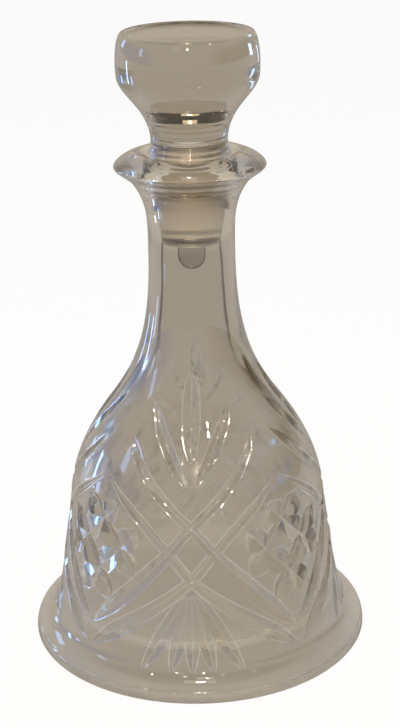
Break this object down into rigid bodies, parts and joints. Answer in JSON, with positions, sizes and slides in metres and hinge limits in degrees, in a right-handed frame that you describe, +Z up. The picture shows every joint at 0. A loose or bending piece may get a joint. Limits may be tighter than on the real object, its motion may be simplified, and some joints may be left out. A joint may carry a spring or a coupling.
{
  "type": "decanter",
  "caption": "Bell-shaped cut glass carafe with a narrow neck, a flanged lip and a wide flat foot, closed by a solid glass stopper with a drum knob.",
  "frame": {"origin": "centre of the foot's circle, on the plane that the foot stands on", "axes": "+Z up along the axis of the carafe and stopper, -Y towards the viewer through the middle of one of the four cut faces, +X to the viewer's right"},
  "size_m": [0.148, 0.148, 0.265],
  "materials": {
    "crystal_body": "polished clear lead crystal with mitre cuts",
    "crystal_stopper": "polished clear lead crystal, plain"
  },
  "bodies": {
    "carafe": {"carafe": "crystal_body"},
    "stopper": {"stopper": "crystal_stopper"}
  },
  "joints": [
    {"name": "stopper_lift", "type": "slide", "parent": "carafe", "child": "stopper", "axis": [0, 0, 1], "range_m": [0, 0.06]}
  ]
}
